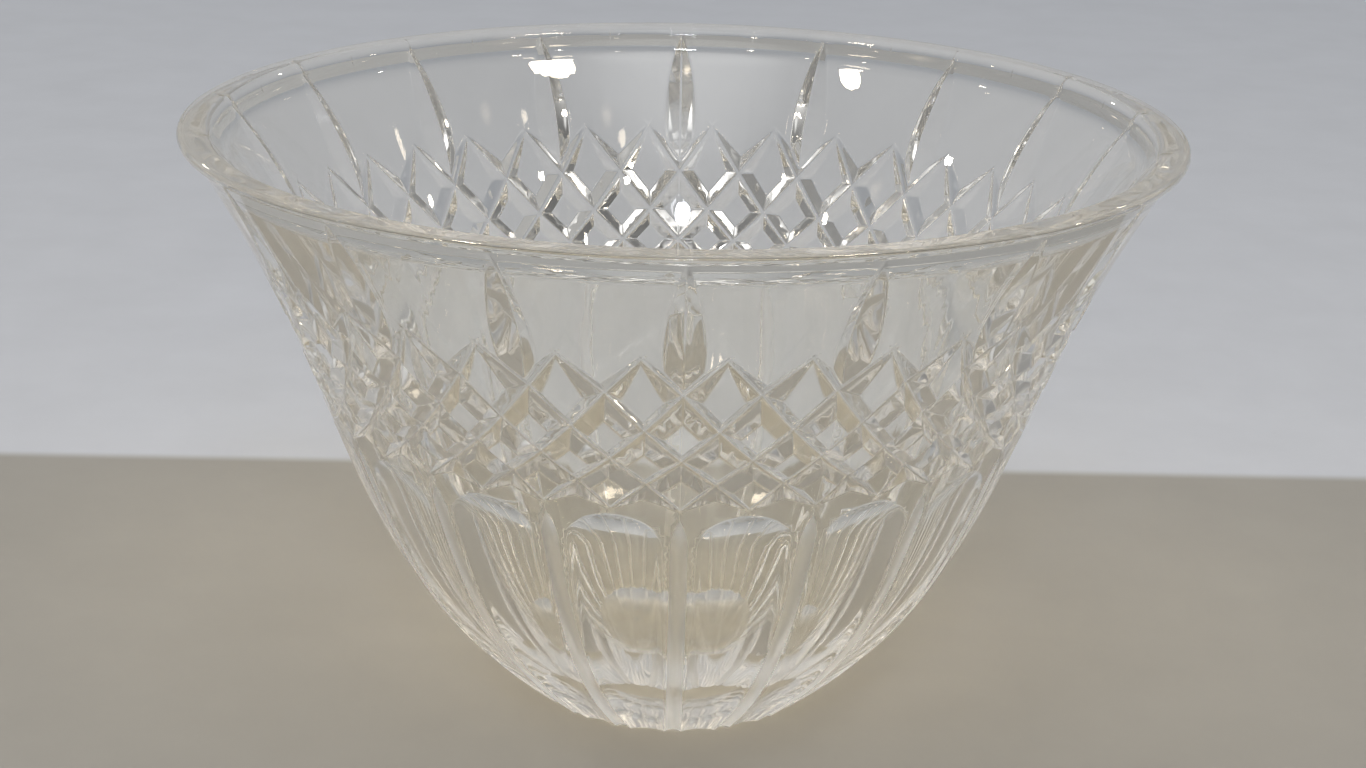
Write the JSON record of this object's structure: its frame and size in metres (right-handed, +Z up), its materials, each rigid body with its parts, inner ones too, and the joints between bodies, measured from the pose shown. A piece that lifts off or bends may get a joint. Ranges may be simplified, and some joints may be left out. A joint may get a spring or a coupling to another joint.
{
  "type": "cut crystal bowl",
  "caption": "Flared cut-crystal serving bowl on a small flat foot, with lancets under the lip, a belt of diamonds and hollow flutes below.",
  "frame": {"origin": "centre of the flat foot, on the surface that the bowl stands on", "axes": "+Z up along the bowl's axis, -Y towards the viewer with one lancet facing that way"},
  "size_m": [0.25, 0.25, 0.151],
  "materials": {
    "lead_crystal": "wheel-cut and polished, clear"
  },
  "bodies": {
    "root": {"bowl": "lead_crystal"}
  },
  "joints": []
}
